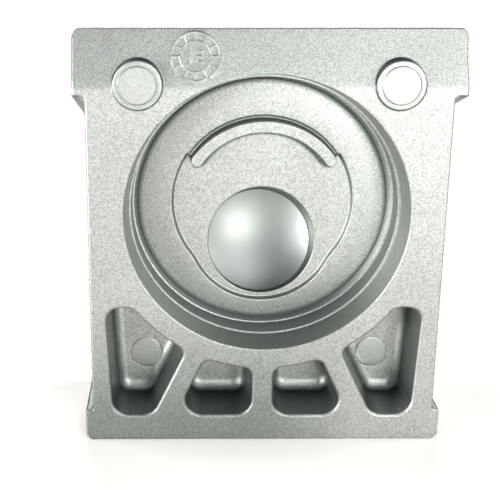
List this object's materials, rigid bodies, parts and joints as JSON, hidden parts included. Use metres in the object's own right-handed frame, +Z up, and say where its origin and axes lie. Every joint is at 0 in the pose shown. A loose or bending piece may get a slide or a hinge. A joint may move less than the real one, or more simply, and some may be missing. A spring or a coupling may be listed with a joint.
{
  "type": "motor housing",
  "caption": "Die-cast motor housing: a block with a round stepped recess, an inclined blind bore, a curved rib, cored pockets, and ears above and below.",
  "frame": {"origin": "middle of the underside, at mid width and mid depth", "axes": "+Z up, the recessed front face looks along -Y, +X to the right seen from the front"},
  "size_m": [0.0808, 0.0292, 0.0909],
  "materials": {
    "cast_aluminium": "satin"
  },
  "bodies": {
    "root": {"motor_housing": "cast_aluminium"}
  },
  "joints": []
}
